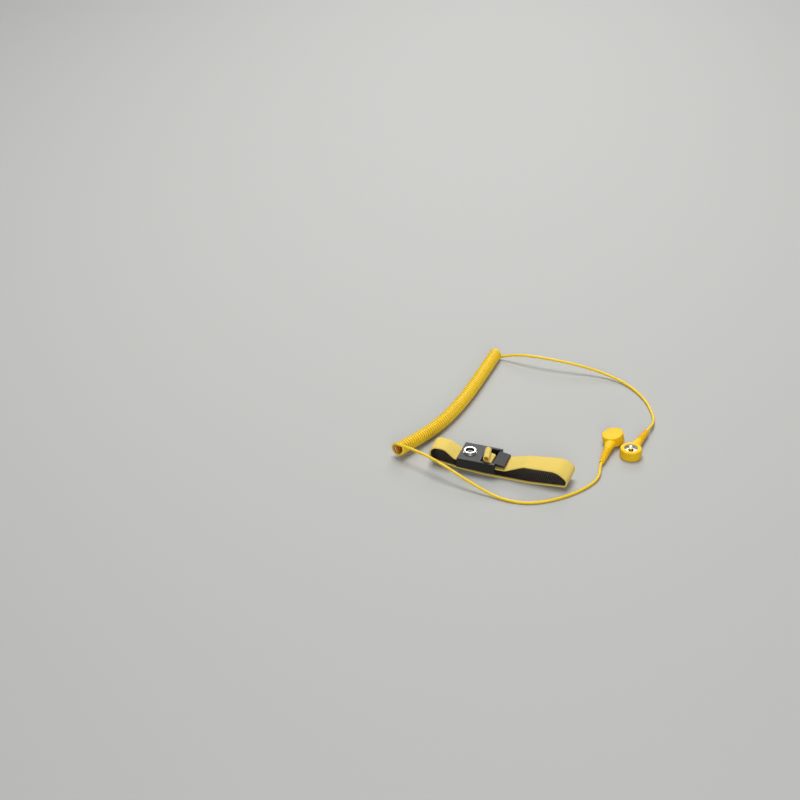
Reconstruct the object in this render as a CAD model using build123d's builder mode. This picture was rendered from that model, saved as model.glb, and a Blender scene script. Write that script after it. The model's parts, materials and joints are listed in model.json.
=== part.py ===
"""Antistatic wrist strap: an adjustable elastic band with a lever clasp, and its coiled grounding cord.

Millimetres, +Z up.  The origin is on the table, under the middle of the wrist band and clasp.
+X runs along the flattened band, from the clasp's stud end to its lever end, and +Y across it.
"""
import os
from math import cos, hypot, pi, radians, sin, tan

from build123d import *

os.makedirs("parts", exist_ok=True)

# ------------------------------------------------------------------ driving sizes: wrist band
band_width = 18.0
webbing_thickness = 1.1
lining_thickness = 0.3
lining_border = 1.0            # plain selvedge on each side of the conductive lining
loop_half_length = 57.0        # from the origin to the outside of each end of the loop
left_lobe_height = 16.6        # outside height of the loop beside the stud
right_lobe_height = 16.4       # outside height of the loop beside the lever
roll_radius = 2.9              # the rolled and stitched free end
roll_core_radius = 0.7
roll_height = 15.2             # height of the roll's centre
roll_front_x = -8.9            # the roll lies a little askew across the clasp
roll_back_x = -11.6
free_end_width = 13.6          # the band is trimmed narrower beyond the lever
stitch_count = 4
stitch_length = 2.6
thread_radius = 0.25

# ------------------------------------------------------------------ driving sizes: clasp
clasp_left = -32.5             # X of the stud end
clasp_length = 30.9
clasp_height = 8.0
clasp_underside = 5.0          # the band's own spring holds the clasp this far off the table
ear_thickness = 2.3            # walls each side of the lever
bay_length = 12.4              # open bay for the rolled end and the lever
floor_thickness = 1.2          # plastic and contact plate together, under the bay
clasp_corner = 0.5
clasp_edge = 0.2
lever_width = 18.0
hub_width = 19.6
hub_side_gap = 0.2
pin_radius = 0.7
pin_setback = 1.5              # pin centre to the end of the ears
pin_drop = 2.2                 # pin centre below the top face
pin_running_gap = 0.06
pin_cover = 0.6                # plastic left outside each end of the pin
pin_end_gap = 0.1
hub_radius = 1.6
cam_reach = 2.9                # pin centre to the teeth that grip the band
cam_tooth = 0.25
lever_top = 1.9                # pin centre to the plate's top face
lever_start = 0.4              # the plate begins this far beyond the pin centre
lever_swing_gap = 0.25         # turning lever to the band's upright end
lever_reach = 8.7              # pin centre to the lever's free edge
lever_tip_drop = 1.4           # the plate slopes down to its free edge by this much
lever_tip_thickness = 1.4
plate_thickness = 0.5          # stainless plate that touches the skin
plate_inset = 1.3
plate_gap = 0.1
anchor_length = 13.0           # how far the band's fixed end reaches into the clasp
anchor_plate_thickness = 0.8
anchor_height = 3.5            # band's lower face in the clasp, above its underside
band_gap = 0.1                 # band to the plastic it lies in

# ------------------------------------------------------------------ driving sizes: 10 mm snap
stud_setback = 7.3             # stud centre to the clasp's end
stud_radius = 5.0
stud_neck_radius = 4.6
stud_flange_radius = 5.4
stud_flange_thickness = 0.5
stud_recess_depth = 0.7
stud_proud = 1.8               # bead top above the clasp's face
stud_bead_height = 1.4
stud_hollow_radius = 3.3
rivet_radius = 1.5
rivet_hole_gap = 0.05
rivet_head_radius = 2.6
rivet_head_height = 0.5
snap_gap = 0.15                # stud bead to socket wall

# ------------------------------------------------------------------ driving sizes: snap connectors
connector_radius = 8.6
connector_height = 8.2
connector_edge = 1.0
connector_wall = 1.5
face_thickness = 0.6           # plastic in front of the socket
cap_thickness = 1.7
cap_spigot = 1.0
cap_gap = 0.08
cap_dish_radius = 6.3
cap_dish_depth = 0.3
socket_wall = 1.0
socket_depth = 1.6             # from its mouth to the floor ring
socket_height = 3.2
socket_floor = 0.6
socket_eye_radius = 2.4
socket_pocket_gap = 0.1
spring_wire_radius = 0.25
spring_gap = 0.1               # drawn open, as when the stud's bead is passing
spring_gap_angle = 60.0
terminal_thickness = 0.4
resistor_radius = 0.75
resistor_length = 3.6
resistor_wire_radius = 0.2
relief_length = 34.0           # connector centre to the end of its strain relief
relief_axis_height = 4.1       # cord axis above the mating face
relief_flare_length = 8.5
relief_root_radius = 3.1
relief_tip_radius = 2.1
relief_root_width = 9.6
relief_root_height = 6.6
relief_groove_count = 7
relief_groove_depth = 0.5
relief_groove_width = 0.9

# ------------------------------------------------------------------ driving sizes: cord
cord_radius = 1.15
cord_bore_gap = 0.05
lead_straight = 5.0            # the lead leaves the relief straight for this far
cord_joint_depth = 3.0         # the lead's solid meets the connector's piece this deep in the relief
core_radius = 0.5
coil_outer_radius = 5.3

# Axis of the wound coil, from the end near the band to the far end.
coil_route = [
    (-81.6, -9.2, 9.0),
    (-69.8, 21.0, 5.6),
    (-60.6, 56.0, 5.3),
    (-56.6, 92.0, 5.3),
    (-55.3, 128.0, 5.3),
    (-54.4, 166.0, 5.3),
]
# Straight lead from the near end of the coil to the strain relief of snap connector A.
lead_a_route = [
    (-82.0, -8.6, 12.6),
    (-68.0, -13.6, 14.2),
    (-52.5, -19.6, 14.4),
    (-36.5, -25.8, 12.6),
    (-21.0, -30.8, 8.8),
    (-7.0, -33.9, 4.8),
    (5.0, -36.3, 2.0),
    (16.5, -38.0, 1.2),
    (29.5, -37.3, 1.2),
    (42.0, -31.9, 1.2),
    (53.6, -22.4, 1.2),
    (63.6, -10.8, 1.2),
    (70.6, 1.2, 1.2),
    (74.4, 11.0, 1.3),
    (74.9, 20.2, 2.0),
]
# Straight lead from the far end of the coil to the strain relief of snap connector B.
lead_b_route = [
    (-52.9, 164.4, 2.6),
    (-44.5, 165.2, 5.2),
    (-34.0, 164.4, 8.4),
    (-21.0, 163.2, 10.4),
    (-5.0, 163.0, 10.7),
    (12.0, 164.6, 9.2),
    (30.0, 166.2, 6.4),
    (46.5, 165.3, 3.4),
    (61.0, 160.6, 1.6),
    (74.0, 150.6, 1.2),
    (84.8, 137.8, 1.2),
    (92.6, 123.4, 1.2),
    (96.9, 111.8, 1.6),
    (97.9, 101.8, 3.0),
]

# Snap connector A lies cap up, rolled over by its cord; B lies on its cap with the socket up.
connector_a_centre = (74.0, 69.1)
connector_a_heading = -91.2
connector_a_roll = 11.0
connector_a_pitch = 4.5
connector_b_centre = (91.0, 54.9)
connector_b_heading = 81.5


def rounded_radii(points, share=0.45):
    """Largest tangent arc at each inner corner: its tangents take 0.45 of the shorter run."""
    vectors = [Vector(*p) for p in points]
    radii = []
    for before, corner, after in zip(vectors, vectors[1:], vectors[2:]):
        run_in, run_out = corner - before, after - corner
        half_turn = radians(run_in.get_angle(run_out)) / 2
        radii.append(share * min(run_in.length, run_out.length) / tan(half_turn))
    return radii


def print_route(name, radii, path, part, radius):
    """Say how long a tube is, how tight it bends and whether its volume fits its length."""
    turns = " ".join(f"{r:.0f}" for r in radii)
    ratio = part.volume / (path.length * pi * radius**2)
    print(f"{name}: length {path.length:.1f} mm, radii {turns} mm, volume ratio {ratio:.4f}")


# ------------------------------------------------------------------ places worked out from the sizes
band_thickness = webbing_thickness + lining_thickness
clasp_right = clasp_left + clasp_length
clasp_top = clasp_underside + clasp_height
bay_width = hub_width + 2 * hub_side_gap
clasp_width = bay_width + 2 * ear_thickness
bay_left = clasp_right - bay_length
bay_floor = clasp_underside + floor_thickness
stud_x = clasp_left + stud_setback
pin_x = clasp_right - pin_setback
pin_z = clasp_top - pin_drop
anchor_floor = clasp_underside + anchor_height
anchor_top = anchor_floor + band_gap + band_thickness
threaded_top = bay_floor + band_gap + band_thickness
cam_face_x = pin_x - hypot(lever_start, lever_top) - lever_swing_gap

pin_axis_plane = Plane.XZ.shift_origin((pin_x, 0, pin_z))
stud_plane = Plane.XY.shift_origin((stud_x, 0, 0))

# ------------------------------------------------------------------ clasp body
with BuildPart() as clasp_body:
    with BuildSketch(Plane.XY.offset(clasp_underside)) as outline:
        with Locations(((clasp_left + clasp_right) / 2, 0)):
            RectangleRounded(clasp_length, clasp_width, clasp_corner)
    extrude(amount=clasp_height)
    chamfer(clasp_body.faces().sort_by(Axis.Z)[-1].edges(), length=clasp_edge)
    # open bay: closed at the left, open to the top and through the lever end
    with BuildSketch(Plane.XZ) as bay:
        with Locations((bay_left, bay_floor)):
            Rectangle(bay_length + 1, clasp_height + 1, align=(Align.MIN, Align.MIN))
    extrude(amount=bay_width / 2, both=True, mode=Mode.SUBTRACT)
    # slot for the band's fixed end and its clamp plate
    with BuildSketch(Plane.XZ) as anchor_slot:
        with Locations((clasp_left - 1, anchor_floor)):
            Rectangle(
                anchor_length + 1 + 2 * band_gap,
                band_thickness + anchor_plate_thickness + 3 * band_gap,
                align=(Align.MIN, Align.MIN),
            )
    extrude(amount=band_width / 2 + 0.3, both=True, mode=Mode.SUBTRACT)
    # recess for the contact plate
    with BuildSketch(Plane.XY.offset(clasp_underside)) as plate_recess:
        with Locations(((clasp_left + clasp_right) / 2, 0)):
            Rectangle(
                clasp_length - 2 * (plate_inset - plate_gap),
                clasp_width - 2 * (plate_inset - plate_gap),
            )
    extrude(amount=plate_thickness, mode=Mode.SUBTRACT)
    # stud seat and rivet hole
    with Locations((stud_x, 0, clasp_top)):
        CounterBoreHole(
            radius=rivet_radius + rivet_hole_gap,
            counter_bore_radius=stud_flange_radius + 0.15,
            counter_bore_depth=stud_recess_depth,
        )
    # pin bores, closed on the outside of each ear
    with BuildSketch(pin_axis_plane) as pin_bore:
        Circle(pin_radius + pin_running_gap / 3)
    extrude(amount=clasp_width / 2 - pin_cover, both=True, mode=Mode.SUBTRACT)
clasp_body.part.label = "clasp_body"

# ------------------------------------------------------------------ contact plate against the skin
with BuildPart() as contact_plate:
    with BuildSketch(Plane.XY.offset(clasp_underside)) as plate_outline:
        with Locations(((clasp_left + clasp_right) / 2, 0)):
            RectangleRounded(clasp_length - 2 * plate_inset, clasp_width - 2 * plate_inset, 0.6)
    extrude(amount=plate_thickness)
    with Locations((stud_x, 0, clasp_underside + plate_thickness)):
        Hole(rivet_radius + rivet_hole_gap)
contact_plate.part.label = "contact_plate"

# ------------------------------------------------------------------ clamp plate on the band's fixed end
clamp_bottom = anchor_top + band_gap
with BuildPart() as band_clamp:
    with BuildSketch(Plane.XY.offset(clamp_bottom)) as clamp_outline:
        with Locations((clasp_left + anchor_length / 2 + 0.3, 0)):
            RectangleRounded(anchor_length - 0.6, band_width - 1.0, 0.8)
    extrude(amount=anchor_plate_thickness)
    with Locations((stud_x, 0, clamp_bottom + anchor_plate_thickness)):
        Hole(rivet_radius + rivet_hole_gap)
band_clamp.part.label = "band_clamp"

# ------------------------------------------------------------------ male snap stud and its rivet
stud_seat = clasp_top - stud_recess_depth
stud_top = clasp_top + stud_proud
stud_cup_floor = stud_seat + stud_flange_thickness
bead_bottom = stud_top - stud_bead_height
with BuildPart() as snap_stud:
    with BuildSketch(Plane.XZ.shift_origin((stud_x, 0, 0))) as stud_profile:
        with BuildLine():
            Polyline(
                (rivet_radius + rivet_hole_gap, stud_seat),
                (stud_flange_radius, stud_seat),
                (stud_flange_radius, stud_seat + stud_flange_thickness),
                (stud_neck_radius, stud_seat + stud_flange_thickness),
                (stud_neck_radius, bead_bottom),
                (stud_radius, bead_bottom + 0.3),
                (stud_radius, stud_top - 0.3),
                (stud_radius - 0.3, stud_top),
                (stud_hollow_radius + 0.4, stud_top),
                (stud_hollow_radius, stud_top - 0.4),
                (stud_hollow_radius, stud_cup_floor),
                (rivet_radius + rivet_hole_gap, stud_cup_floor),
                close=True,
            )
        make_face()
    revolve(axis=Axis((stud_x, 0, 0), (0, 0, 1)))
snap_stud.part.label = "snap_stud"

rivet_bottom = clasp_underside - rivet_head_height
with BuildPart() as stud_rivet:
    with BuildSketch(Plane.XZ.shift_origin((stud_x, 0, 0))) as rivet_profile:
        with BuildLine():
            Polyline(
                (0, rivet_bottom),
                (rivet_head_radius - 0.4, rivet_bottom),
                (rivet_head_radius, rivet_bottom + 0.3),
                (rivet_head_radius, clasp_underside),
                (rivet_radius, clasp_underside),
                (rivet_radius, stud_cup_floor),
                (rivet_head_radius, stud_cup_floor),
                (rivet_head_radius - 0.5, stud_cup_floor + 0.6),
                (0.9, stud_cup_floor + 0.6),
                (0.9, anchor_floor),
                (0, anchor_floor),
                close=True,
            )
        make_face()
    revolve(axis=Axis((stud_x, 0, 0), (0, 0, 1)))
stud_rivet.part.label = "stud_rivet"

# ------------------------------------------------------------------ cam lever and its pin
lever_tip_top = lever_top - lever_tip_drop
cam_teeth = [(-0.6, -cam_reach), (-0.3, cam_tooth - cam_reach), (0, -cam_reach)]
cam_teeth += [(-x, z) for x, z in cam_teeth[1::-1]]
with BuildPart() as cam_lever:
    with BuildSketch(pin_axis_plane) as hub_profile:
        Circle(hub_radius)
        # toothed foot that presses the band on the bay's floor
        with BuildLine():
            Polyline((-1.2, -0.6), *cam_teeth, (1.2, -0.6), close=True)
        make_face()
    extrude(amount=hub_width / 2, both=True)
    with BuildSketch(pin_axis_plane) as lever_profile:
        with BuildLine():
            Polyline(
                (lever_start, lever_top),
                (lever_reach - 0.4, lever_tip_top),
                (lever_reach, lever_tip_top - 0.4),
                (lever_reach, lever_tip_top - lever_tip_thickness),
                (hub_radius, lever_tip_top - lever_tip_thickness + 0.2),
                (lever_start, 0),
                close=True,
            )
        make_face()
    extrude(amount=lever_width / 2, both=True)
    with BuildSketch(pin_axis_plane) as lever_bore:
        Circle(pin_radius + pin_running_gap)
    extrude(amount=lever_width, both=True, mode=Mode.SUBTRACT)
cam_lever.part.label = "cam_lever"

with BuildPart() as lever_pin:
    with BuildSketch(pin_axis_plane) as pin_section:
        Circle(pin_radius)
    extrude(amount=clasp_width / 2 - pin_cover - pin_end_gap, both=True)
lever_pin.part.label = "lever_pin"

# ------------------------------------------------------------------ wrist band
# Outside face of the band seen along +Y, from its fixed end in the clasp, round the loop, under the
# lever and up through the bay to the roll.  Each corner is a tangent arc of the radius beside it.
loop_corners = [
    ((clasp_left - 2.4, anchor_top), 5.0),
    ((clasp_left - 11.3, left_lobe_height), 10.0),
    ((-loop_half_length - 0.87, left_lobe_height - 0.4), 6.0),
    ((-loop_half_length + 0.8, 4.6), 5.0),
    ((-28.0, 1.0), 60.0),
    ((-12.0, 0.0), 60.0),
    ((26.0, 0.0), 60.0),
    ((loop_half_length - 1.0, 2.3), 3.2),
    ((loop_half_length + 0.7, 9.4), 6.5),
    ((loop_half_length - 8.4, right_lobe_height + 0.3), 12.0),
    ((20.5, right_lobe_height - 2.0), 14.0),
    ((5.5, threaded_top + 0.4), 9.0),
    ((cam_face_x, threaded_top), 1.4),
    ((cam_face_x - 0.1, clasp_top - 1.2), 1.0),
]
loop_points = [(clasp_left + anchor_length, anchor_top)]
loop_points += [corner for corner, radius in loop_corners]
loop_points += [(roll_front_x - 0.7, roll_height - 0.8)]
loop_radii = [radius for corner, radius in loop_corners]

roll_plane = Plane(
    origin=(roll_front_x, -band_width / 2, roll_height),
    x_dir=(0, 0, 1),
    z_dir=(roll_back_x - roll_front_x, free_end_width, 0),
)
roll_length = hypot(roll_back_x - roll_front_x, free_end_width)

with BuildPart() as band_end_roll:
    with BuildSketch(roll_plane) as roll_section:
        Circle(roll_radius)
        Circle(roll_core_radius, mode=Mode.SUBTRACT)
    extrude(amount=roll_length)
band_end_roll.part.label = "band_end_roll"


# what the band's layers leave free: the rolled end, the trimmed side of the free end and the
# rivet's hole
with BuildPart() as band_cutouts:
    with BuildSketch(roll_plane.offset(-2)) as roll_space:
        Circle(roll_radius)
    extrude(amount=roll_length + 4)
    with BuildSketch(Plane.XY.offset(bay_floor)) as trimmed_side:
        with Locations((pin_x, free_end_width - band_width / 2)):
            Rectangle(bay_length, band_width, align=(Align.MAX, Align.MIN))
    extrude(amount=2 * clasp_height)
    with BuildSketch(Plane.XY.offset(clasp_underside)) as rivet_space:
        with Locations((stud_x, 0)):
            Circle(rivet_radius + 0.1)
    extrude(amount=clasp_height)

with BuildPart() as elastic_band:
    with BuildSketch(Plane.XZ) as webbing_profile:
        with BuildLine():
            FilletPolyline(*loop_points, radius=loop_radii)
            offset(amount=webbing_thickness, side=Side.LEFT, mode=Mode.ADD)
        make_face()
    extrude(amount=band_width / 2, both=True)
    add(band_cutouts.part, mode=Mode.SUBTRACT)
elastic_band.part.label = "elastic_band"

with BuildPart() as conductive_lining:
    with BuildSketch(Plane.XZ) as lining_profile:
        with BuildLine():
            FilletPolyline(*loop_points, radius=loop_radii)
            offset(amount=band_thickness, side=Side.LEFT, mode=Mode.ADD)
        make_face()
        add(webbing_profile.sketch_local, mode=Mode.SUBTRACT)
    extrude(amount=band_width / 2 - lining_border, both=True)
    add(band_cutouts.part, mode=Mode.SUBTRACT)
conductive_lining.part.label = "conductive_lining"

# row of stitches along the side of the roll where it closes, half sunk in the webbing
stitch_pitch = roll_length / stitch_count
with BuildPart() as roll_stitching:
    for stitch in range(stitch_count):
        start = stitch * stitch_pitch + (stitch_pitch - stitch_length) / 2
        with BuildSketch(roll_plane.offset(start)) as stitch_section:
            with Locations((-roll_radius * sin(radians(25)), -roll_radius * cos(radians(25)))):
                Circle(thread_radius)
        extrude(amount=stitch_length)
roll_stitching.part.label = "roll_stitching"


# ------------------------------------------------------------------ snap connectors
body_height = connector_height - cap_thickness
cavity_radius = connector_radius - connector_wall
socket_bore = stud_radius + snap_gap
socket_outer = socket_bore + socket_wall
socket_floor_z = face_thickness + socket_depth
socket_back_z = socket_floor_z + socket_floor
socket_neck_z = face_thickness + socket_height
spring_centre_radius = stud_radius + spring_gap + spring_wire_radius
resistor_x = 5.1
resistor_z = socket_back_z + terminal_thickness + resistor_radius + 0.15
relief_start = connector_radius + relief_flare_length
cord_start = connector_radius - 1.0        # where the sheathed cord begins inside the housing
cord_end = relief_length - cord_joint_depth


def lying_plane(centre, heading, roll, pitch):
    """Mating-face plane of a connector that lies on the table on the edge of that face.

    Local +X runs along the strain relief and local +Z towards the cap.
    """
    lean = cos(radians(pitch)) * cos(radians(roll))
    rise = (connector_radius - connector_edge) * (1 - lean**2) ** 0.5 + connector_edge * (1 - lean)
    return Plane(Pos(*centre, rise) * Rot(Z=heading) * Rot(Y=pitch) * Rot(X=roll))


def along_relief(plane, distance):
    """A point on the cord's axis, this far from the connector's centre."""
    return plane.from_local_coords(Vector(distance, 0, relief_axis_height))


def make_connector(letter, plane):
    """One snap connector: housing with strain relief, cap, socket, spring, terminal and resistor."""
    name = f"connector_{letter}"
    side = Plane(origin=plane.origin, x_dir=plane.x_dir, z_dir=-plane.y_dir)
    turn_axis = Axis(plane.origin, plane.z_dir)
    cord_axis = Axis(along_relief(plane, 0), plane.x_dir)
    cord_side = Plane(origin=along_relief(plane, 0), x_dir=plane.x_dir, z_dir=-plane.y_dir)
    across_root = Plane(
        origin=along_relief(plane, cavity_radius - 0.1), x_dir=plane.y_dir, z_dir=plane.x_dir
    )
    across_start = Plane(
        origin=along_relief(plane, relief_start), x_dir=plane.y_dir, z_dir=plane.x_dir
    )

    with BuildPart() as housing:
        with BuildSketch(side):
            with BuildLine():
                FilletPolyline(
                    (0, 0),
                    (connector_radius, 0),
                    (connector_radius, body_height),
                    (0, body_height),
                    radius=(0, connector_edge, 0, 0),
                    close=True,
                )
            make_face()
        revolve(axis=turn_axis)
        with BuildSketch(across_root):
            Ellipse(relief_root_width / 2, relief_root_height / 2)
        with BuildSketch(across_start):
            Circle(relief_root_radius)
        loft()
        # tapered strain relief with grooves that let it bend
        taper = (relief_root_radius - relief_tip_radius) / (relief_length - relief_start)
        pitch = (relief_length - relief_start) / (relief_groove_count + 0.5)
        outline = [(relief_start, 0), (relief_start, relief_root_radius)]
        for groove in range(relief_groove_count):
            start = relief_start + (groove + 0.5) * pitch
            radius = relief_root_radius - taper * (start - relief_start)
            outline += [
                (start, radius),
                (start, radius - relief_groove_depth),
                (start + relief_groove_width, radius - relief_groove_depth),
                (start + relief_groove_width, radius),
            ]
        outline += [(relief_length, relief_tip_radius), (relief_length, 0)]
        with BuildSketch(cord_side):
            with BuildLine():
                Polyline(*outline, close=True)
            make_face()
        revolve(axis=cord_axis)
        # mouth, socket pocket and the cavity above it
        with BuildSketch(side):
            with BuildLine():
                Polyline(
                    (0, -1),
                    (socket_bore + 0.2, -1),
                    (socket_bore + 0.2, face_thickness),
                    (socket_outer + socket_pocket_gap, face_thickness),
                    (socket_outer + socket_pocket_gap, socket_back_z),
                    (cavity_radius, socket_back_z),
                    (cavity_radius, body_height),
                    (connector_radius + cap_gap, body_height),
                    (connector_radius + cap_gap, connector_height),
                    (0, connector_height),
                    close=True,
                )
            make_face()
        revolve(axis=turn_axis, mode=Mode.SUBTRACT)
        # bore for the cord
        with BuildSketch(across_root):
            Circle(cord_radius + cord_bore_gap)
        extrude(amount=relief_length, mode=Mode.SUBTRACT)
        with BuildSketch(across_root):
            Circle(cord_radius + cord_bore_gap)
        extrude(amount=-1.0, mode=Mode.SUBTRACT)
    housing.part.label = f"{name}_housing"

    with BuildPart() as cap:
        with BuildSketch(side):
            with BuildLine():
                FilletPolyline(
                    (0, body_height - cap_spigot),
                    (cavity_radius - cap_gap, body_height - cap_spigot),
                    (cavity_radius - cap_gap, body_height),
                    (connector_radius, body_height),
                    (connector_radius, connector_height),
                    (cap_dish_radius + cap_dish_depth, connector_height),
                    (cap_dish_radius, connector_height - cap_dish_depth),
                    (0, connector_height - cap_dish_depth),
                    radius=(0, 0, 0, 0, connector_edge, 0, 0, 0),
                    close=True,
                )
            make_face()
        revolve(axis=turn_axis)
    cap.part.label = f"{name}_cap"

    with BuildPart() as socket:
        with BuildSketch(side):
            with BuildLine():
                Polyline(
                    (socket_bore, face_thickness),
                    (socket_outer, face_thickness),
                    (socket_outer, socket_back_z),
                    (socket_eye_radius + 0.6, socket_back_z),
                    (socket_eye_radius + 0.6, socket_neck_z),
                    (socket_eye_radius, socket_neck_z),
                    (socket_eye_radius, socket_floor_z),
                    (socket_bore, socket_floor_z),
                    (socket_bore, face_thickness + 1.0),
                    (spring_centre_radius + spring_wire_radius + 0.1, face_thickness + 1.0),
                    (spring_centre_radius + spring_wire_radius + 0.1, face_thickness + 0.35),
                    (socket_bore, face_thickness + 0.35),
                    close=True,
                )
            make_face()
        revolve(axis=turn_axis)
    socket.part.label = f"{name}_socket"

    with BuildPart() as spring:
        with BuildSketch(side):
            with Locations((spring_centre_radius, face_thickness + 0.68)):
                Circle(spring_wire_radius)
        revolve(axis=turn_axis, revolution_arc=360 - spring_gap_angle)
    spring.part.label = f"{name}_spring"

    # brass terminal on the back of the socket, with a tab for the resistor's wire
    with BuildPart() as terminal:
        with BuildSketch(plane.offset(socket_back_z)):
            Circle(socket_outer - 0.4)
            Circle(socket_eye_radius + 0.65, mode=Mode.SUBTRACT)
        extrude(amount=terminal_thickness)
        with BuildSketch(plane.offset(socket_back_z)):
            with Locations((resistor_x, -resistor_length / 2 - 1.2)):
                Rectangle(0.9, terminal_thickness)
        extrude(amount=resistor_z - socket_back_z - resistor_wire_radius)
    terminal.part.label = f"{name}_terminal"

    # current-limiting resistor between the terminal and the cord's core
    resistor_side = Plane(
        origin=plane.from_local_coords(Vector(resistor_x, 0, resistor_z)),
        x_dir=plane.x_dir,
        z_dir=plane.y_dir,
    )
    with BuildPart() as resistor:
        with BuildSketch(resistor_side):
            Circle(resistor_radius)
        extrude(amount=resistor_length / 2, both=True)
        with BuildSketch(resistor_side):
            Circle(resistor_wire_radius)
        extrude(amount=-resistor_length / 2 - 1.4)
        wire_points = [
            (resistor_x, resistor_length / 2 - 0.2, resistor_z),
            (resistor_x, resistor_length / 2 + 1.2, resistor_z),
            (cavity_radius - 0.6, resistor_length / 2 + 0.8, resistor_z),
            (cavity_radius - 0.6, 0.2, relief_axis_height),
        ]
        with BuildLine() as wire_line:
            FilletPolyline(
                *[plane.from_local_coords(Vector(*point)) for point in wire_points],
                radius=0.4,
            )
        with BuildSketch(wire_line.line ^ 0):
            Circle(resistor_wire_radius)
        sweep()
        # the cord's stripped core, soldered to that wire
        with BuildSketch(across_root):
            Circle(core_radius)
        extrude(amount=cord_start - cavity_radius + 0.1)
        with BuildSketch(across_root):
            Circle(core_radius)
        extrude(amount=-1.0)
    resistor.part.label = f"{name}_resistor"

    # sheathed cord inside the strain relief
    with BuildPart() as cord_piece:
        with BuildSketch(across_root.offset(cord_start - cavity_radius + 0.1)):
            Circle(cord_radius)
        extrude(amount=cord_end - cord_start)
    cord_piece.part.label = f"{name}_cord"

    return {
        "housing": housing.part,
        "cap": cap.part,
        "socket": socket.part,
        "spring": spring.part,
        "terminal": terminal.part,
        "resistor": resistor.part,
        "cord": cord_piece.part,
    }


plane_a = lying_plane(
    connector_a_centre, connector_a_heading, connector_a_roll, connector_a_pitch
)
plane_b = Plane(
    origin=(*connector_b_centre, connector_height),
    x_dir=(cos(radians(connector_b_heading)), sin(radians(connector_b_heading)), 0),
    z_dir=(0, 0, -1),
)
connectors = {"a": make_connector("a", plane_a), "b": make_connector("b", plane_b)}

# ------------------------------------------------------------------ cord
coil_radii = rounded_radii(coil_route)
with BuildPart() as coiled_cord:
    with BuildLine() as coil_line:
        FilletPolyline(*coil_route, radius=coil_radii)
    with BuildSketch(coil_line.line ^ 0) as coil_section:
        Circle(coil_outer_radius)
    sweep()
coiled_cord.part.label = "coiled_cord"
print_route("coiled_cord", coil_radii, coil_line.wire(), coiled_cord.part, coil_outer_radius)

leads = {}
for letter, route, plane in (("a", lead_a_route, plane_a), ("b", lead_b_route, plane_b)):
    # straight into the strain relief
    full_route = route + [
        tuple(along_relief(plane, relief_length + lead_straight)),
        tuple(along_relief(plane, cord_end)),
    ]
    lead_radii = rounded_radii(full_route)
    with BuildPart() as lead:
        with BuildLine() as lead_line:
            FilletPolyline(*full_route, radius=lead_radii)
        with BuildSketch(lead_line.line ^ 0) as lead_section:
            Circle(cord_radius)
        sweep()
    lead.part.label = f"lead_{letter}"
    leads[letter] = lead.part
    print_route(lead.part.label, lead_radii, lead_line.wire(), lead.part, cord_radius)
    print("  into the relief:", *[[round(c, 2) for c in point] for point in full_route[-2:]])

# ------------------------------------------------------------------ write every piece
for piece in (
    clasp_body,
    contact_plate,
    band_clamp,
    snap_stud,
    stud_rivet,
    cam_lever,
    lever_pin,
    elastic_band,
    conductive_lining,
    band_end_roll,
    roll_stitching,
    coiled_cord,
):
    export_step(piece.part, f"parts/{piece.part.label}.step")
for letter, pieces in connectors.items():
    export_step(leads[letter], f"parts/lead_{letter}.step")
    for name, solid in pieces.items():
        export_step(solid, f"parts/connector_{letter}_{name}.step")
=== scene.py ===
# %% [markdown]
# # An antistatic wrist strap and its curly cord
# The strap is an elastic band held by a small lever clasp.  A coiled cord with a snap connector on
# each end lies beside it.  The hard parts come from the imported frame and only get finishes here.
# The band, its rolled end and the cord are soft, so they are made here as surfaces.

# %% Load the frame
import json
import math

import bpy
import numpy as np
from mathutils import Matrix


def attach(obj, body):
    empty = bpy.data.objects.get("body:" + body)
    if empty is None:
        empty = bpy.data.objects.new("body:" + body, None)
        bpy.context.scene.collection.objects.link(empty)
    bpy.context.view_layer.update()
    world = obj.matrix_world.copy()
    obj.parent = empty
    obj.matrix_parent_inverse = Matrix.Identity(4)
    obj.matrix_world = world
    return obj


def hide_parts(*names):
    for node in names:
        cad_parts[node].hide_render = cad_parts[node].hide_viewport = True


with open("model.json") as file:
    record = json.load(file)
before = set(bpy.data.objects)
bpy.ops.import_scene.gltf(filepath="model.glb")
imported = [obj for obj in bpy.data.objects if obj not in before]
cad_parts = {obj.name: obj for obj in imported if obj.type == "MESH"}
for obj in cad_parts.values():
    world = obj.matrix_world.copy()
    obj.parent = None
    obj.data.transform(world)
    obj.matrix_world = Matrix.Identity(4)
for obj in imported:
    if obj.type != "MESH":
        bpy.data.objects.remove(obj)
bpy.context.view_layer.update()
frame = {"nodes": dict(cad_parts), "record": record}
mm = 0.001

# %% [markdown]
# ## Camera, floor and light
# A long lens from a little over a metre keeps the strap's sides nearly parallel.  The main light is
# a broad soft panel overhead, so shadows lie close under each piece.  A second panel stands behind
# the strap, where flat tops mirror it: that is what makes black plastic and metal gleam.  A third
# stands low in front and reaches the near edges of the band, which face away from the other two.

# %% Camera
camera_data = bpy.data.cameras.new("camera")
camera_data.lens = 82.8
camera_data.sensor_width = 36
camera_data.clip_start = 0.05
camera_data.clip_end = 20
camera = bpy.data.objects.new("camera", camera_data)
camera.location = (0.3254, -1.1545, 0.8050)
looking_down = math.radians(31.7)
turned_left = math.radians(19.5)
camera.rotation_euler = (math.pi / 2 - looking_down, 0, turned_left)
bpy.context.collection.objects.link(camera)
bpy.context.scene.camera = camera

# %% Plain colours: the default view would wash out the cord's strong yellow
bpy.context.scene.view_settings.view_transform = "Standard"

# %% Helpers for surfaces


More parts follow.
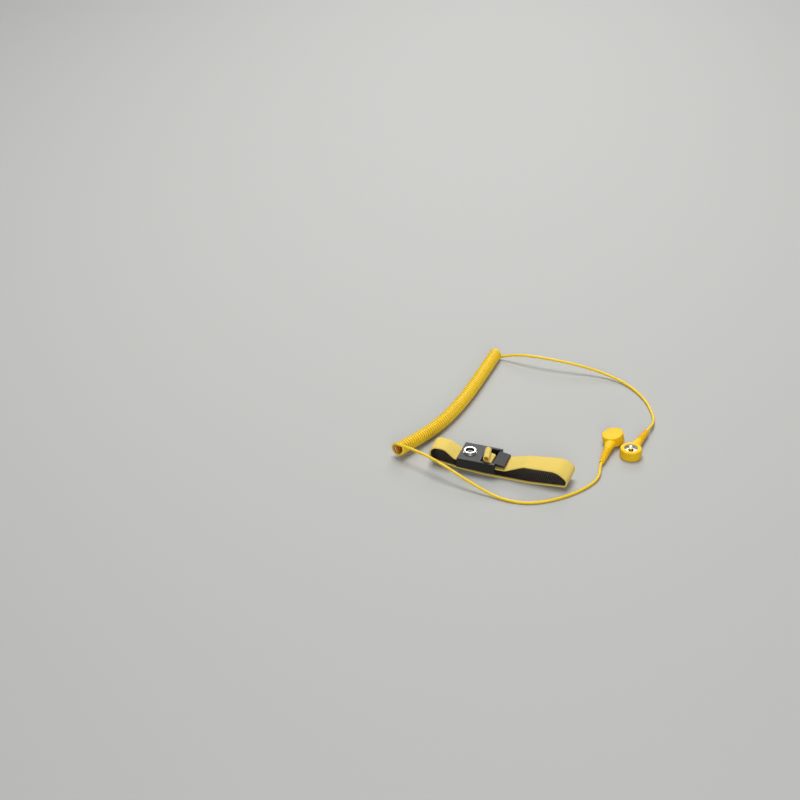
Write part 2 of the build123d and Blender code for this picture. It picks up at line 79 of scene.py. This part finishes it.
def surface(name, points, along, across, close_columns=False, cap_ends=False):
    """Mesh of a grid of points, row by row.

    Each face joins row i to row i+1 and column j to column j+1.  along and across are the real
    lengths of the rows and columns in metres, and they become the UV map.
    """
    rows, columns = points.shape[:2]
    last = columns if close_columns else columns - 1
    i, j = np.meshgrid(np.arange(rows - 1), np.arange(last), indexing="ij")
    i, j = i.ravel(), j.ravel()
    corners_i = np.stack([i, i + 1, i + 1, i], axis=1)
    corners_j = np.stack([j, j, j + 1, j + 1], axis=1)
    faces = (corners_i * columns + corners_j % columns).tolist()
    uv = np.stack([along[corners_i.ravel()], across[corners_j.ravel()]], axis=1)
    if cap_ends:
        faces.append(list(range(columns)))
        faces.append([(rows - 1) * columns + c for c in reversed(range(columns))])
        uv = np.concatenate([uv, np.zeros((2 * columns, 2))])
    mesh = bpy.data.meshes.new(name)
    mesh.from_pydata(points.reshape(-1, 3).tolist(), [], faces)
    mesh.uv_layers.new(name="UVMap").data.foreach_set("uv", uv.ravel())
    mesh.polygons.foreach_set("use_smooth", np.ones(len(mesh.polygons), bool))
    piece = bpy.data.objects.new(name, mesh)
    bpy.context.collection.objects.link(piece)
    return piece


def store(piece, attribute, values):
    """Keep one value at each vertex of a piece, for its material to read."""
    stored = piece.data.attributes.new(attribute, "FLOAT", "POINT")
    stored.data.foreach_set("value", values.astype(np.float32).ravel())


def lengths(line):
    """Distance travelled along a line of points, starting from 0."""
    steps = np.linalg.norm(np.diff(line, axis=0), axis=1)
    return np.concatenate([[0], np.cumsum(steps)])


def unit(vectors):
    """Each vector divided by its own length."""
    return vectors / np.linalg.norm(vectors, axis=-1, keepdims=True)


def smooth_step(x):
    """0 below 0, 1 above 1, and an S-curve between."""
    x = np.clip(x, 0, 1)
    return x * x * (3 - 2 * x)


# %% Floor and lights
floor_size = 6.0
floor_mesh = bpy.data.meshes.new("floor")
half = floor_size / 2
floor_mesh.from_pydata(
    [(-half, -half, 0), (half, -half, 0), (half, half, 0), (-half, half, 0)], [], [(0, 1, 2, 3)]
)
floor = bpy.data.objects.new("floor", floor_mesh)
bpy.context.collection.objects.link(floor)


def area_light(name, place, target, size, watts):
    """Square panel at place, facing target."""
    data = bpy.data.lights.new(name, "AREA")
    data.size = size
    data.energy = watts
    light = bpy.data.objects.new(name, data)
    light.location = place
    direction = np.array(target) - np.array(place)
    flat = math.hypot(direction[0], direction[1])
    light.rotation_euler = (
        math.atan2(flat, -direction[2]),
        0,
        math.atan2(direction[1], direction[0]) - math.pi / 2,
    )
    bpy.context.collection.objects.link(light)


middle = (0.0, 0.06, 0.0)
area_light("overhead", (-0.2, 0.35, 1.5), middle, 0.9, 19)
area_light("behind", (-0.40, 1.40, 0.95), middle, 0.8, 9)
area_light("front_fill", (0.6, -1.3, 0.6), middle, 0.7, 9)

world = bpy.data.worlds.new("studio")
bpy.context.scene.world = world
world.use_nodes = True
world.node_tree.nodes["Background"].inputs["Color"].default_value = (1, 1, 1, 1)
world.node_tree.nodes["Background"].inputs["Strength"].default_value = 0.2

# %% [markdown]
# ## Finishes
# Effects that several finishes share are node groups: a fine moulded grain, and a woven face whose
# ribs run along the band.  Each material places a group with its own values.

# %% Node helpers


def new_group(name, inputs, outputs):
    """Empty shader group with float, vector or colour sockets."""
    group = bpy.data.node_groups.new(name, "ShaderNodeTree")
    for title, kind, value in inputs:
        socket = group.interface.new_socket(title, in_out="INPUT", socket_type=kind)
        if value is not None:
            socket.default_value = value
    for title, kind in outputs:
        group.interface.new_socket(title, in_out="OUTPUT", socket_type=kind)
    return group, group.nodes.new("NodeGroupInput"), group.nodes.new("NodeGroupOutput")


def math_node(tree, operation, first, second=None, third=None):
    """Math node whose inputs are sockets or numbers; returns its output."""
    node = tree.nodes.new("ShaderNodeMath")
    node.operation = operation
    for socket, value in zip(node.inputs, (first, second, third)):
        if value is None:
            continue
        if isinstance(value, (int, float)):
            socket.default_value = value
        else:
            tree.links.new(value, socket)
    return node.outputs[0]


# %% Grain: fine bumps and faint mottling of a moulded or rubbery surface
grain, grain_in, grain_out = new_group(
    "moulded_grain",
    [
        ("Vector", "NodeSocketVector", None),
        ("Grain size", "NodeSocketFloat", 0.0003),
        ("Mottle size", "NodeSocketFloat", 0.004),
    ],
    [("Height", "NodeSocketFloat"), ("Mottle", "NodeSocketFloat")],
)
for title, size, result in (("fine", "Grain size", "Height"), ("broad", "Mottle size", "Mottle")):
    noise = grain.nodes.new("ShaderNodeTexNoise")
    noise.inputs["Detail"].default_value = 3
    scale = math_node(grain, "DIVIDE", 1.0, grain_in.outputs[size])
    grain.links.new(scale, noise.inputs["Scale"])
    grain.links.new(grain_in.outputs["Vector"], noise.inputs["Vector"])
    grain.links.new(noise.outputs["Fac"], grain_out.inputs[result])

# %% [markdown]
# ### The woven face
# Webbing is too fine to model thread by thread over a quarter of a metre.  Its pattern is worked
# out from the UV map instead, which is in real metres: U runs along the band and V across it.  The
# height is the product of two waves, |sin| across the ribs and |sin| along the picks, where the
# pick wave slides sideways from rib to rib, so that the picks lean one way and then the other.

# %% Weave: lengthwise ribs crossed by slanting picks that change side at each rib


def humps(tree, turn):
    """A row of humps, |sin(pi x)|: each whole step of x is one hump."""
    half_turns = math_node(tree, "MULTIPLY", turn, math.pi)
    return math_node(tree, "ABSOLUTE", math_node(tree, "SINE", half_turns))


weave, weave_in, weave_out = new_group(
    "woven_face",
    [
        ("Vector", "NodeSocketVector", None),
        ("Rib width", "NodeSocketFloat", 0.0011),
        ("Pick length", "NodeSocketFloat", 0.0007),
        ("Slant", "NodeSocketFloat", 0.5),
    ],
    [("Height", "NodeSocketFloat"), ("Gap", "NodeSocketFloat")],
)
split = weave.nodes.new("ShaderNodeSeparateXYZ")
weave.links.new(weave_in.outputs["Vector"], split.inputs[0])
rib_turn = math_node(weave, "DIVIDE", split.outputs["Y"], weave_in.outputs["Rib width"])
zigzag = math_node(weave, "PINGPONG", rib_turn, 1.0)
pick_turn = math_node(weave, "DIVIDE", split.outputs["X"], weave_in.outputs["Pick length"])
leaning = math_node(weave, "MULTIPLY_ADD", zigzag, weave_in.outputs["Slant"], pick_turn)
both = math_node(weave, "MULTIPLY", humps(weave, rib_turn), humps(weave, leaning))
covered = math_node(weave, "POWER", both, 0.35)
weave.links.new(math_node(weave, "POWER", both, 0.5), weave_out.inputs["Height"])
weave.links.new(math_node(weave, "SUBTRACT", 1.0, covered), weave_out.inputs["Gap"])
print("groups", grain.name, weave.name)


# %% [markdown]
# ### Materials
# Each finish is one Principled shader.  Moulded plastic, cord sheath and metal differ only in their
# colours, gloss and grain size, so one function makes them all.  A deep groove looks darker and
# redder than the rest, because light bounces in it from one coloured wall to the other.  That shade
# is painted into the colour: such places are stored on the piece as an attribute called groove, and
# the finish mixes towards a painted groove shade by it.

# %% Materials


def new_material(name, **settings):
    """Material whose Principled sockets are set by name, with underscores for spaces."""
    material = bpy.data.materials.new(name)
    material.use_nodes = True
    shader = material.node_tree.nodes["Principled BSDF"]
    for title, value in settings.items():
        shader.inputs[title.replace("_", " ")].default_value = value
    return material, material.node_tree, shader


def place_group(tree, group, vector, **values):
    """Put a group into a material, fed by a Texture Coordinate output, with its own values."""
    node = tree.nodes.new("ShaderNodeGroup")
    node.node_tree = group
    source = tree.nodes.new("ShaderNodeTexCoord")
    tree.links.new(source.outputs[vector], node.inputs["Vector"])
    for title, value in values.items():
        node.inputs[title.replace("_", " ")].default_value = value
    return node


def mix_colours(tree, factor, first, second):
    """Colour between two, by a factor socket; either colour may be a socket."""
    node = tree.nodes.new("ShaderNodeMix")
    node.data_type = "RGBA"
    tree.links.new(factor, node.inputs["Factor"])
    for socket, value in ((node.inputs[6], first), (node.inputs[7], second)):
        if isinstance(value, tuple):
            socket.default_value = (*value, 1)
        else:
            tree.links.new(value, socket)
    return node.outputs[2]


def add_bump(tree, shader, height, distance, strength=1.0):
    """Bump of a real height in metres."""
    bump = tree.nodes.new("ShaderNodeBump")
    bump.inputs["Distance"].default_value = distance
    bump.inputs["Strength"].default_value = strength
    tree.links.new(height, bump.inputs["Height"])
    tree.links.new(bump.outputs["Normal"], shader.inputs["Normal"])


def shade_by(tree, attribute, colour, shaded):
    """Mix a colour towards a shaded one by a value stored on the piece; 0 where it has none."""
    stored = tree.nodes.new("ShaderNodeAttribute")
    stored.attribute_name = attribute
    return mix_colours(tree, stored.outputs["Fac"], colour, shaded)


def grained(name, light, dark, roughness, grain_size, bump, painted_groove_shade=None, **settings):
    """Moulded finish: two close colours by broad mottling, fine bumps by grain."""
    material, tree, shader = new_material(name, Roughness=roughness, **settings)
    node = place_group(tree, grain, "Object", Grain_size=grain_size)
    colour = mix_colours(tree, node.outputs["Mottle"], dark, light)
    # painted shade in grooves, mixed in where the piece stores a groove value
    if painted_groove_shade:
        colour = shade_by(tree, "groove", colour, painted_groove_shade)
    tree.links.new(colour, shader.inputs["Base Color"])
    spread = math_node(tree, "MULTIPLY_ADD", node.outputs["Mottle"], 0.16, roughness - 0.08)
    tree.links.new(spread, shader.inputs["Roughness"])
    add_bump(tree, shader, node.outputs["Height"], bump)
    return material


# %% Moulded, sheathed and metal finishes
clasp_plastic = grained(
    "clasp_plastic",
    (0.012, 0.012, 0.013),
    (0.008, 0.008, 0.009),
    0.46,
    0.00022,
    0.00002,
    Specular_IOR_Level=0.38,
)
cord_sheath = grained(
    "cord_sheath",
    (0.91, 0.63, 0.010),
    (0.87, 0.57, 0.008),
    0.36,
    0.0006,
    0.00001,
    # painted shade between the coil's touching turns, darker and redder
    painted_groove_shade=(0.50, 0.19, 0.004),
    Specular_IOR_Level=0.45,
)
connector_plastic = grained(
    "connector_plastic",
    (0.94, 0.60, 0.006),
    (0.89, 0.53, 0.005),
    0.5,
    0.0003,
    0.00001,
    Specular_IOR_Level=0.22,
)
resistor_lacquer = grained(
    "resistor_lacquer", (0.62, 0.45, 0.26), (0.5, 0.34, 0.18), 0.3, 0.0004, 0.00001
)
nickel = grained(
    "nickel", (0.92, 0.90, 0.87), (0.84, 0.82, 0.79), 0.34, 0.0002, 0.000004, Metallic=1
)
stainless = grained(
    "stainless", (0.62, 0.62, 0.62), (0.5, 0.5, 0.5), 0.34, 0.00015, 0.000006, Metallic=1
)
brass = grained(
    "brass", (0.34, 0.29, 0.19), (0.26, 0.22, 0.14), 0.35, 0.0002, 0.000005, Metallic=1
)
thread = grained("thread", (0.86, 0.55, 0.08), (0.7, 0.42, 0.05), 0.8, 0.0001, 0.00003)

# %% [markdown]
# ### Painted shade on the stud
# The hollow inside the rim of the stud's top and the flange below it are coloured almost black, as
# painted shade and a painted dark reflection, so that only the rim shines.  All three are one
# turned shape, so the finish tells them apart by the distance from the stud's axis, sqrt((x - x0)^2
# + y^2), on Object coordinates.

# %% Painted shade on the stud, by distance from its axis
stud_axis_x = -25.2 * mm
hollow_radius = 3.35 * mm
rim_radius = 5.08 * mm
flange_limit = 8.0 * mm              # the other nickel pieces all lie farther away than this
stud_shade_share = 0.9
# near-black painted shade and reflection for the stud's hollow and flange
stud_shade_colour = (0.035, 0.035, 0.035)

tree = nickel.node_tree
shader = tree.nodes["Principled BSDF"]
plain = shader.inputs["Base Color"].links[0].from_socket
place = tree.nodes.new("ShaderNodeTexCoord")
split = tree.nodes.new("ShaderNodeSeparateXYZ")
tree.links.new(place.outputs["Object"], split.inputs[0])
x_away = math_node(tree, "SUBTRACT", split.outputs["X"], stud_axis_x)
x_squared = math_node(tree, "POWER", x_away, 2.0)
y_squared = math_node(tree, "POWER", split.outputs["Y"], 2.0)
from_stud = math_node(tree, "SQRT", math_node(tree, "ADD", x_squared, y_squared))
in_hollow = math_node(tree, "LESS_THAN", from_stud, hollow_radius)
past_rim = math_node(tree, "GREATER_THAN", from_stud, rim_radius)
on_stud = math_node(tree, "LESS_THAN", from_stud, flange_limit)
on_flange = math_node(tree, "MULTIPLY", past_rim, on_stud)
# painted shade in the hollow and on the flange
painted_stud_shade = math_node(tree, "MULTIPLY", math_node(tree, "ADD", in_hollow, on_flange), stud_shade_share)
tree.links.new(mix_colours(tree, painted_stud_shade, plain, stud_shade_colour), shader.inputs["Base Color"])

# %% Cloth finishes
# Webbing: pale yellow with a woven face, and painted shade between the threads
webbing, tree, shader = new_material("webbing", Roughness=0.85, Sheen_Weight=0.25)
face = place_group(tree, weave, "UV", Rib_width=0.0010725, Pick_length=0.0013, Slant=0.65)
colour = mix_colours(tree, face.outputs["Gap"], (0.97, 0.755, 0.15), (0.52, 0.29, 0.016))
# painted shade inside the rolled end's inner turns, by the stored groove value
colour = shade_by(tree, "groove", colour, (0.50, 0.23, 0.012))
tree.links.new(colour, shader.inputs["Base Color"])
add_bump(tree, shader, face.outputs["Height"], 0.00018)

# Lining: nearly black, with silver thread showing where the weave stands highest
lining, tree, shader = new_material("lining", Roughness=0.8, Specular_IOR_Level=0.15)
face = place_group(tree, weave, "UV", Rib_width=0.0014, Pick_length=0.0016, Slant=0.5)
silver = math_node(tree, "GREATER_THAN", face.outputs["Height"], 0.84)
colour = mix_colours(tree, silver, (0.006, 0.0035, 0.002), (0.20, 0.17, 0.13))
tree.links.new(colour, shader.inputs["Base Color"])
add_bump(tree, shader, face.outputs["Height"], 0.00008)

# %% Floor paint, and a finish for every slot
floor_paint = grained(
    "floor_paint", (0.458, 0.463, 0.444), (0.446, 0.451, 0.432), 0.8, 0.0006, 0.00001
)
floor_mesh.materials.append(floor_paint)

finish_of = {
    "clasp_plastic": clasp_plastic,
    "stainless": stainless,
    "nickel": nickel,
    "brass": brass,
    "webbing": webbing,
    "lining": lining,
    "thread": thread,
    "cord_sheath": cord_sheath,
    "connector_plastic": connector_plastic,
    "resistor_lacquer": resistor_lacquer,
}
for entry in frame["record"]["subparts"]:
    node = frame["nodes"][entry["node"]]
    for place in node.material_slots:
        place.material = finish_of[entry["material_slot"]]
print("finishes", len(finish_of))

# %% [markdown]
# ## The wrist band
# The band is a strap of elastic webbing, so it bends along its length and hardly at all across.  It
# is made as a strip carried along a side view: one profile for its front edge and one for its back
# edge, because the loop lies a little twisted.  The same strip goes on under the lever, up through
# the clasp, and winds itself into the rolled end.

# %% The side view: corners and the tangent arcs between them
# Outside face of the band as (x, z, twist in x, twist in z, arc radius) in millimetres, from under
# the clasp round the left lobe, along the table, round the right lobe and up through the clasp.
# The twist is added at the back edge and taken away at the front edge.
loop_corners = np.array(
    [
        (-19.5, 10.0, 0.0, 0.0, 0.0),
        (-34.9, 10.0, 0.0, 0.0, 5.0),
        (-43.8, 16.1, -0.2, -1.1, 10.0),
        (-57.6, 16.2, -0.7, -0.3, 6.1),
        (-56.2, 4.6, -0.7, -0.2, 4.7),
        (-28.0, 1.0, 0.0, 0.0, 60.0),
        (-12.0, 0.0, 0.0, 0.0, 60.0),
        (26.0, 0.7, 0.0, 0.7, 60.0),
        (55.6, 2.9, 0.6, 0.2, 3.0),
        (57.4, 10.3, 0.8, 1.6, 5.0),
        (48.6, 16.7, 1.2, 1.0, 13.0),
        (20.5, 14.4, 0.0, -0.4, 14.0),
        (5.5, 8.7, -0.6, 0.7, 9.0),
        (-5.3, 7.7, 0.0, 0.0, 1.4),
        (-5.3, 12.5, 0.0, -0.8, 1.3),
    ]
)
band_half_width = 9.0
free_end_width = 13.6                    # the band is trimmed narrower beyond the lever
trim_start, trim_end = 1.0, -4.0         # X where the trimming starts and is complete
lining_end = -4.0                        # X where the lining stops, under the lever
roll_centre = np.array([-10.4, 15.35])   # x and z at the middle of the band's width
roll_twist = np.array([-1.4, 0.05])
roll_start_angle = math.radians(-80)
roll_start_radius = 2.25                 # from the roll's centre to the strip's inner face
roll_pitch = 1.2                         # each turn is this much smaller
roll_turns = 1.8
spiral_rows = 90
arc_rows = 12
run_spacing = 1.3                        # about this far between rows on the straight runs


def tangent_arcs(corners, radii, arc_steps, run_steps):
    """Side view with every corner rounded.

    Runs and arcs are sampled by count, so two profiles with the same counts match point by point.

    An arc is centre - r n cos(a) + r u sin(a), where u is the run's direction into the corner, n is
    square to u on the side of the turn, and a goes from 0 to the angle turned.
    """
    directions = unit(np.diff(corners, axis=0))
    pieces = []
    start = corners[0]
    for k in range(1, len(corners) - 1):
        u, v = directions[k - 1], directions[k]
        cross = u[0] * v[1] - u[1] * v[0]
        turned = math.atan2(abs(cross), u @ v)
        n = np.sign(cross) * np.array([-u[1], u[0]])
        arc_start = corners[k] - u * radii[k] * math.tan(turned / 2)
        share = np.linspace(0, 1, run_steps[k - 1], endpoint=False)[:, None]
        pieces.append(start + share * (arc_start - start))
        a = np.linspace(0, turned, arc_steps, endpoint=False)[:, None]
        pieces.append(arc_start + radii[k] * (n - n * np.cos(a) + u * np.sin(a)))
        start = arc_start + radii[k] * (n - n * math.cos(turned) + u * math.sin(turned))
    share = np.linspace(0, 1, run_steps[-1], endpoint=False)[:, None]
    pieces.append(start + share * (corners[-1] - start))
    return np.concatenate(pieces)


def edge_profile(side, run_steps):
    """Outside face at one edge of the band: side is -1 at the front edge and +1 at the back.

    The roll at the end is a spiral, centre + r (cos a, sin a), where r shrinks by the pitch and a
    goes back by a whole turn for each turn.
    """
    centre = roll_centre + side * roll_twist
    spiral_turn = np.linspace(0, roll_turns, spiral_rows)[:, None]
    angle = roll_start_angle - 2 * math.pi * spiral_turn
    radius = roll_start_radius - roll_pitch * spiral_turn
    spiral = centre + radius * np.concatenate([np.cos(angle), np.sin(angle)], axis=1)
    corners = np.concatenate([loop_corners[:, :2] + side * loop_corners[:, 2:4], spiral[:1]])
    radii = np.append(loop_corners[:, 4], 0.0)
    loop = tangent_arcs(corners, radii, arc_rows, run_steps)
    return np.concatenate([loop, spiral]) * mm


run_lengths = np.linalg.norm(np.diff(loop_corners[:, :2], axis=0), axis=1)
run_steps = [max(3, int(length / run_spacing)) for length in run_lengths] + [4]
front_edge = edge_profile(-1, run_steps)
back_edge = edge_profile(+1, run_steps)
band_length = lengths((front_edge + back_edge) / 2)
print("band", round(band_length[-1], 3), "m long,", len(band_length), "rows")


# %% [markdown]
# ### One strip for both cloths
# The webbing and its lining follow the same two profiles at different depths.  A flat grid would
# leave them as thin as paper, so each row of the strip is a closed outline with a top, a bottom and
# two rounded edges.  Inside the roll the cloth is squeezed thinner and drawn in from the front
# edge, which leaves the winding open to the eye.

# %% The strip
inner_turns = np.zeros(len(band_length))
inner_turns[-spiral_rows:] = np.linspace(0, roll_turns, spiral_rows)
squeezed = 1 - 0.25 * smooth_step(inner_turns / 0.6)
drawn_in = 0.7 * mm * smooth_step((inner_turns - 0.75) / 0.5)


def strip(name, half_width, outer, inner, edge_radius, rows, ribs=0, rib_depth=0.0):
    """Strip of cloth carried along the band's side view.

    Each row is a closed section: an outer face, an inner face and rounded edges between.  A point
    is the mix of the two edge profiles at its place across the band, moved inwards by its depth.
    The outer face rises and falls across the band as |sin|, once for each lengthwise rib.
    """
    front, back = front_edge[rows], back_edge[rows]
    q = np.linspace(0, math.pi / 2, 5)[1:]
    edge_bulge = edge_radius * np.concatenate([np.sin(q), np.sin(q[::-1])])
    dip = edge_radius * (1 - np.cos(q))
    edge_depth = np.concatenate([outer + dip, inner - dip[::-1]])
    outer_face = np.linspace(1, -1, 4 * max(ribs, 4) + 1)
    groove = rib_depth * (1 - np.abs(np.sin(math.pi * (outer_face + 1) / 2 * ribs)))
    inner_face = np.linspace(-1, 1, 17)
    place = np.concatenate([outer_face, np.full(8, -1), inner_face, np.full(8, 1)])
    bulge = np.concatenate([0 * outer_face, -edge_bulge, 0 * inner_face, edge_bulge])
    depth = np.concatenate([outer + groove, edge_depth, inner + 0 * inner_face, edge_depth[::-1]])

    flat_half = half_width - edge_radius
    trimmed = (2 * band_half_width - free_end_width) * mm * free_share[rows]
    high = flat_half - trimmed * half_width / (band_half_width * mm)
    low = drawn_in[rows] - flat_half
    y = low[:, None] + (high - low)[:, None] * (place + 1) / 2 + bulge
    share = (y / (band_half_width * mm) + 1)[:, :, None] / 2
    front_inwards = unit(np.gradient(front, axis=0))[:, ::-1] * (-1, 1)
    back_inwards = unit(np.gradient(back, axis=0))[:, ::-1] * (-1, 1)
    inwards = unit((1 - share) * front_inwards[:, None] + share * back_inwards[:, None])
    depth = squeezed[rows][:, None, None] * depth[:, None]
    side_view = (1 - share) * front[:, None] + share * back[:, None] + depth * inwards
    points = np.stack([side_view[..., 0], y, side_view[..., 1]], axis=2)
    across = flat_half * place + bulge
    across = np.append(across, across[0])
    return surface(name, points, band_length[rows], across, close_columns=True, cap_ends=True)


# %% Webbing, and the lining that touches the skin
middle_edge = (front_edge + back_edge) / 2
beyond_right_end = np.arange(len(middle_edge)) > middle_edge[:, 0].argmax()
free_share = beyond_right_end * smooth_step(
    (trim_start * mm - middle_edge[:, 0]) / ((trim_start - trim_end) * mm)
)
lining_rows = ~(beyond_right_end & (middle_edge[:, 0] < lining_end * mm))
lining_rows &= band_length < band_length[beyond_right_end & ~lining_rows][0]

band = strip(
    "wrist_band",
    half_width=band_half_width * mm,
    outer=0,
    inner=1.1 * mm,
    edge_radius=0.34 * mm,
    rows=slice(None),
    ribs=16,
    rib_depth=0.06 * mm,
)
band.data.materials.append(webbing)
points_per_row = len(band.data.vertices) // len(band_length)
# groove here is painted shade on the inner turns of the rolled end, from 0.75 turn inwards
store(band, "groove", np.repeat(smooth_step((inner_turns - 0.75) / 0.4), points_per_row))
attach(band, "strap")
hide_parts("elastic_band", "band_end_roll")

band_lining = strip(
    "band_lining",
    half_width=7.6 * mm,
    outer=1.05 * mm,
    inner=1.4 * mm,
    edge_radius=0.12 * mm,
    rows=lining_rows,
)
band_lining.data.materials.append(lining)
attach(band_lining, "strap")
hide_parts("conductive_lining")
print("band faces", len(band.data.polygons), len(band_lining.data.polygons))

# %% [markdown]
# ## The cord
# One length of 2.3 mm cord runs from connector A, through the wound coil, to connector B.  Its lead
# points are listed, and the coil's turns are a helix round the coil's own smooth axis.

# %% Routes, within a millimetre or so of the hard model's own
cord_radius = 1.15 * mm
coil_radius = 4.15 * mm
coil_route = [
    (-82.3, -9.9, 8.5),
    (-69.8, 21.0, 5.6),
    (-60.6, 56.0, 5.3),
    (-56.6, 92.0, 5.3),
    (-55.3, 128.0, 5.3),
    (-54.4, 166.0, 5.3),
]
lead_a_route = [
    (-68.0, -13.6, 14.2),
    (-52.5, -19.6, 14.4),
    (-36.5, -25.8, 12.6),
    (-21.0, -30.8, 8.8),
    (-7.0, -33.9, 4.8),
    (5.0, -36.3, 2.0),
    (16.5, -38.0, 1.2),
    (29.5, -37.3, 1.2),
    (42.0, -31.9, 1.2),
    (53.6, -22.4, 1.2),
    (63.6, -10.8, 1.2),
    (70.6, 1.2, 1.2),
    (74.4, 11.0, 1.3),
    (74.9, 20.2, 2.0),
    (72.4, 29.9, 2.5),
    (72.6, 37.9, 3.2),
]
lead_b_route = [
    (-44.5, 165.2, 5.2),
    (-34.0, 164.4, 8.4),
    (-21.0, 163.2, 10.4),
    (-5.0, 163.0, 10.7),
    (12.0, 164.6, 9.2),
    (30.0, 166.2, 6.4),
    (46.5, 165.3, 3.4),
    (61.0, 160.6, 1.6),
    (74.0, 150.6, 1.2),
    (84.8, 137.8, 1.2),
    (92.6, 123.4, 1.2),
    (96.9, 111.8, 1.6),
    (97.9, 101.8, 3.0),
    (96.8, 93.5, 4.1),
    (95.6, 85.6, 4.1),
]


def spline_points(points, steps):
    """Points along a smooth open NURBS spline through the neighbourhood of the given ones."""
    curve = bpy.data.curves.new("route", "CURVE")
    curve.dimensions = "3D"
    curve.resolution_u = steps
    spline = curve.splines.new("NURBS")
    spline.points.add(len(points) - 1)
    spline.points.foreach_set("co", np.c_[points, np.ones(len(points))].ravel())
    spline.order_u = 3
    spline.use_endpoint_u = True
    holder = bpy.data.objects.new("route", curve)
    mesh = bpy.data.meshes.new_from_object(holder)
    line = np.empty(3 * len(mesh.vertices))
    mesh.vertices.foreach_get("co", line)
    bpy.data.meshes.remove(mesh)
    bpy.data.curves.remove(curve)
    return line.reshape(-1, 3)


# %% [markdown]
# ### The coil
# A curly cord keeps its turns because it was baked round a rod.  Here it is a helix round a curved
# axis: centre + r (cos a) sideways + r (sin a) up, square to the axis at each place.  A screw
# modifier makes only straight helices, so the turns are worked out as one array.

# %% The helix
coil_axis = spline_points(np.array(coil_route) * mm, 40)
axis_length = lengths(coil_axis)
turns = 72 + 200 / 360
points_per_turn = 16
count = int(turns * points_per_turn) + 1
turn = np.linspace(0, turns, count)
opening = 0.8 * mm                      # the first turn is pulled open by this much
opening_turns = 1.1
evenly = (axis_length[-1] - opening) * turn / turns
travel = opening * smooth_step(turn / opening_turns) + evenly
centre = np.stack([np.interp(travel, axis_length, coil_axis[:, k]) for k in range(3)], axis=1)
forward = unit(np.gradient(centre, axis=0))
rightward = unit(np.cross(forward, (0, 0, 1)))
upward = np.cross(rightward, forward)
angle = (math.pi / 2 + 2 * math.pi * turn)[:, None]
flare = 1 + 0.14 * (1 - smooth_step(turn / 1.5))  # the first turn is a little wider
control_radius = coil_radius * flare[:, None] / math.cos(math.pi / points_per_turn)
helix = centre + control_radius * (np.cos(angle) * rightward + np.sin(angle) * upward)

# %% The whole cord: lead A, helix, lead B
lead_a = np.array(lead_a_route)[::-1] * mm
lead_b = np.array(lead_b_route) * mm
cord_line = spline_points(np.concatenate([lead_a, helix, lead_b]), 12)
distance = lengths(cord_line)
heading = unit(np.gradient(cord_line, axis=0))
bend = np.linalg.norm(np.diff(heading, axis=0), axis=1)
ring_bend = math.radians(11)            # a new ring after this much turning, or
ring_spacing = 4 * mm                   # after this much length, or a mix of both
ring_cost = np.cumsum(bend / ring_bend + np.diff(distance) / ring_spacing)
ring_cost = np.concatenate([[0], ring_cost])
keep = np.unique(np.searchsorted(ring_cost, np.arange(0, ring_cost[-1], 1.0)))
keep = np.append(keep[keep < len(cord_line) - 1], len(cord_line) - 1)
rings = cord_line[keep]
ring_heading = heading[keep]
print("cord", round(distance[-1], 3), "m,", len(rings), "rings")


coil_limit_x = -45 * mm
coil_direction = (0.0, 0.94, 0.34)


def tube(name, line, directions, radius, sides):
    """Round tube along a line, with rings p + r (cos a) side + r (sin a) top.

    Side is square to the line and to a steady direction that the line never takes: straight up for
    the leads, and along the axis for the coil's turns, which do point straight up in places.
    """
    steady = np.zeros_like(line)
    steady[:, 2] = 1.0
    along_coil = (line[:, 0] < coil_limit_x)[:, None]
    steady = np.where(along_coil, coil_direction, steady)
    side = unit(np.cross(directions, steady))
    top = np.cross(side, directions)
    around = np.linspace(0, 2 * math.pi, sides, endpoint=False)[None, :, None]
    circle = np.cos(around) * side[:, None] + np.sin(around) * top[:, None]
    points = line[:, None] + radius * circle
    around_length = np.linspace(0, 2 * math.pi * radius, sides + 1)
    return surface(name, points, lengths(line), around_length, close_columns=True, cap_ends=True)


cord = tube("curly_cord", rings, ring_heading, cord_radius, 14)
cord.data.materials.append(cord_sheath)

# %% [markdown]
# ### Painted shade in the grooves between the turns
# The turns touch, and the valley between two of them is deep and in shade, which is painted into
# the cord's colour.  How far a vertex stands out from the coil's axis is u, from -1 inside to 1
# outside, and the painted groove shade is the S-curve of (0.8 - u) / 0.8.  The two end turns show
# their sides,
# so only their inside gets painted shade: (-0.2 - u) / 0.5.

# %% Store the painted groove shade at each vertex of the cord
from_axis = rings[:, None] - coil_axis[None]
nearest = np.linalg.norm(from_axis, axis=2).argmin(axis=1)
outwards = from_axis[np.arange(len(rings)), nearest]
coil_reach = 5 * mm
on_coil = np.linalg.norm(outwards, axis=1) < coil_reach
vertices = np.empty(3 * len(cord.data.vertices))
cord.data.vertices.foreach_get("co", vertices)
offset = vertices.reshape(len(rings), -1, 3) - rings[:, None]
u = (offset * unit(outwards)[:, None]).sum(axis=2) / cord_radius
place = distance[keep]
from_end = np.minimum(place - place[on_coil][0], place[on_coil][-1] - place)[:, None]
end_turn = from_end < 2 * math.pi * coil_radius
groove = np.where(end_turn, smooth_step((-0.2 - u) / 0.5), smooth_step((0.8 - u) / 0.8))
store(cord, "groove", groove * on_coil[:, None])
print("rings on the coil", int(on_coil.sum()))

# %% What the cord stands for
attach(cord, "cord_set")
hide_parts("coiled_cord", "lead_a", "lead_b")
